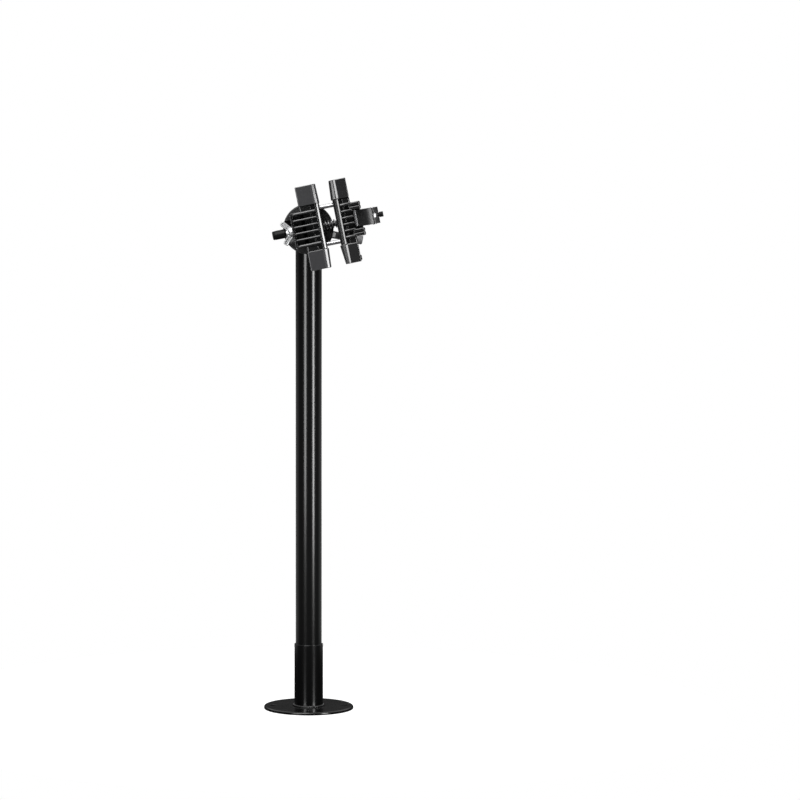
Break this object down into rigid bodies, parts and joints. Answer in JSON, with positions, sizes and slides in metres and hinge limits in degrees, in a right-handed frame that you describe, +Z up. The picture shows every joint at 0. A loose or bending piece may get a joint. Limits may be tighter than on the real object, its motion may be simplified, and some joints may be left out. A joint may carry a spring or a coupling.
{
  "type": "bike repair stand",
  "caption": "Post on a bolted round flange, carrying a turning clamp head with two ribbed jaws, a cam lever and a wing nut.",
  "frame": {"origin": "centre of the flange's underside", "axes": "+Z up along the post, -Y towards the clamp's open front, +X to the viewer's right"},
  "size_m": [0.1705, 0.216, 0.7655],
  "materials": {
    "black_paint": "gloss black enamel",
    "painted_weld": "painted weld bead",
    "casting": "satin black casting",
    "jaw_moulding": "black moulding, half gloss",
    "liner": "glossy black moulding",
    "pad_rubber": "matt dark grey rubber",
    "cap_vinyl": "soft black vinyl",
    "grip_sleeve": "grey rubber sleeve",
    "zinc": "bright zinc",
    "steel": "plain turned steel",
    "black_steel": "blacked steel",
    "nylon": "natural nylon",
    "fibre": "brown brake lining"
  },
  "bodies": {
    "stand": {"base_plate": "black_paint", "foot_weld": "painted_weld", "base_socket": "black_paint", "socket_screw_upper": "black_steel", "socket_screw_lower": "black_steel", "post_tube": "black_paint", "head_barrel": "black_paint", "fixed_disc": "black_paint", "friction_lining": "fibre", "front_bush": "nylon", "rear_bush": "nylon"},
    "head": {"hub_disc": "casting", "spindle": "steel", "thrust_washer": "steel", "stop_nut": "zinc", "jaw_screw_outer_upper": "black_steel", "jaw_screw_outer_lower": "black_steel", "jaw_screw_inner_upper": "black_steel", "jaw_screw_inner_lower": "black_steel", "fixed_jaw": "jaw_moulding", "fixed_jaw_liner": "liner", "fixed_pad_upper": "pad_rubber", "fixed_pad_lower": "pad_rubber", "guide_pin_upper": "steel", "guide_pin_lower": "steel", "rod_washer": "black_steel", "jaw_spring": "steel"},
    "lock": {"lock_lever": "casting", "lock_lever_grip": "grip_sleeve"},
    "wing": {"wing_nut": "zinc"},
    "rod": {"clamp_rod": "black_steel", "rod_end_nut": "black_steel", "rod_end_cap": "cap_vinyl", "cam_pin": "zinc"},
    "cam": {"cam_lever": "casting"},
    "slider": {"moving_jaw": "jaw_moulding", "moving_jaw_liner": "liner", "moving_pad_upper": "pad_rubber", "moving_pad_lower": "pad_rubber", "cam_washer": "steel", "cam_seat": "jaw_moulding"}
  },
  "joints": [
    {"name": "head_turn", "type": "hinge", "parent": "stand", "child": "head", "pos_m": [0, 0, 0.695], "axis": [0, -1, 0], "continuous": true},
    {"name": "lock_lever_turn", "type": "hinge", "parent": "head", "child": "lock", "pos_m": [0, 0, 0.695], "axis": [0, 1, 0], "range_deg": [0, 150]},
    {"name": "wing_nut_turn", "type": "hinge", "parent": "head", "child": "wing", "pos_m": [0, -0.1085, 0.695], "axis": [0.9803, 0, 0.1977], "range_deg": [-4320, 0]},
    {"name": "rod_adjust", "type": "slide", "parent": "head", "child": "rod", "axis": [0.9803, 0, 0.1977], "range_m": [-0.015, 0], "deforming": ["jaw_spring"]},
    {"name": "cam_lever_swing", "type": "hinge", "parent": "rod", "child": "cam", "pos_m": [0.09107, -0.1085, 0.71336], "axis": [0.1977, 0, -0.9803], "range_deg": [0, 120]},
    {"name": "jaw_release", "type": "slide", "parent": "rod", "child": "slider", "axis": [0.9803, 0, 0.1977], "range_m": [0, 0.0036]}
  ],
  "couplings": [
    {"joint": "wing_nut_turn", "follows": "rod_adjust", "rad_per_m": 5026.5},
    {"joint": "jaw_release", "follows": "cam_lever_swing", "m_per_rad": 0.0017189}
  ]
}
